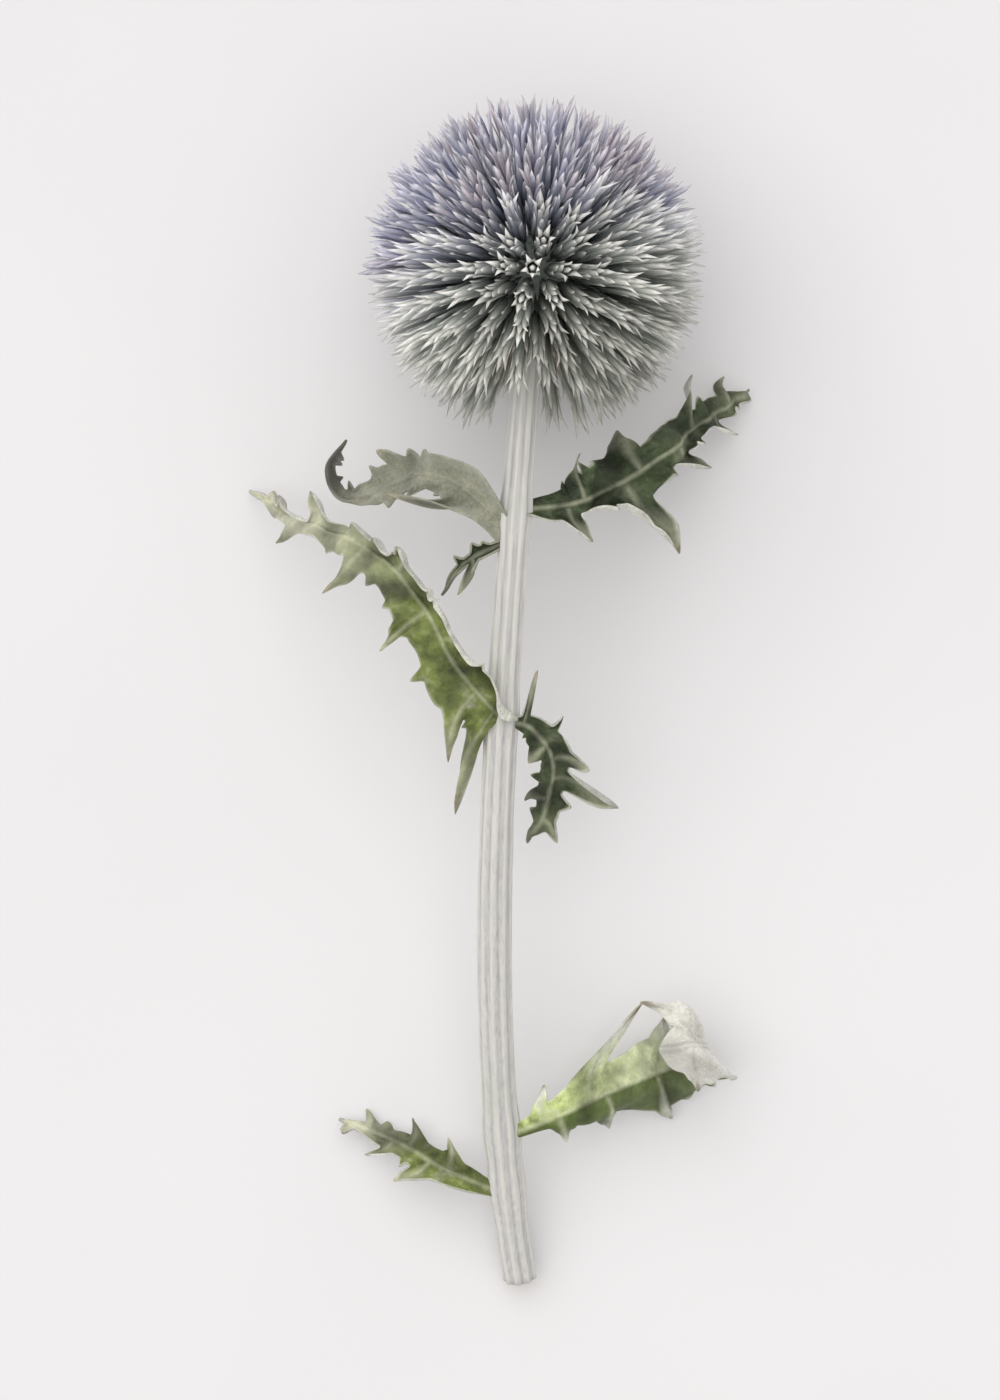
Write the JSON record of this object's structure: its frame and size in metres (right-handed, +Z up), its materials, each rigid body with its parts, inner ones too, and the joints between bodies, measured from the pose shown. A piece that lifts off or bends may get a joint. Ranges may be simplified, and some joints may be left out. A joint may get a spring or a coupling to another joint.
{
  "type": "globe thistle flower head",
  "caption": "Dried globe thistle flower head lying on its side: a ball of fine spiny florets on a short ribbed stalk with small lobed leaves.",
  "frame": {"origin": "on the surface the flower lies on, under the middle of the box around it", "axes": "+Y along the stalk from its cut end to the head, +Z up from the surface, +X to the right seen from above"},
  "size_m": [0.06, 0.14, 0.0399],
  "materials": {
    "woolly_stalk": "silvery white wool over shallow pale lilac-grey ribs",
    "open_florets": "dry lavender-blue petals and anthers, matt, slate blue in the depths",
    "closed_florets": "dry grey-green spiny bracts with cream tips, matt",
    "dry_bristles": "pale straw bristles with a pinkish brown tint, matt",
    "green_leaf": "dry olive green upper side with a pale midrib, silvery white felt below",
    "dark_leaf": "dry dark green upper side, pale grey felt below, pale spines",
    "felted_leaf": "pale grey-green felt, matt"
  },
  "bodies": {
    "root": {"stalk": "woolly_stalk", "florets_ring_01": "open_florets", "florets_ring_02": "open_florets", "florets_ring_03": "open_florets", "florets_ring_04": "open_florets", "florets_ring_05": "open_florets", "florets_ring_06": "open_florets", "florets_ring_07": "open_florets", "florets_ring_08": "open_florets", "florets_ring_09": "closed_florets", "florets_ring_10": "closed_florets", "florets_ring_11": "closed_florets", "florets_ring_12": "closed_florets", "florets_ring_13": "closed_florets", "florets_ring_14": "closed_florets", "base_bristles": "dry_bristles", "upper_leaf": "green_leaf", "axil_leaf": "dark_leaf", "neck_leaf_left": "felted_leaf", "neck_leaf_right": "dark_leaf", "neck_leaf_narrow": "felted_leaf", "lower_leaf_right": "green_leaf", "lower_leaf_left": "green_leaf"}
  },
  "joints": []
}
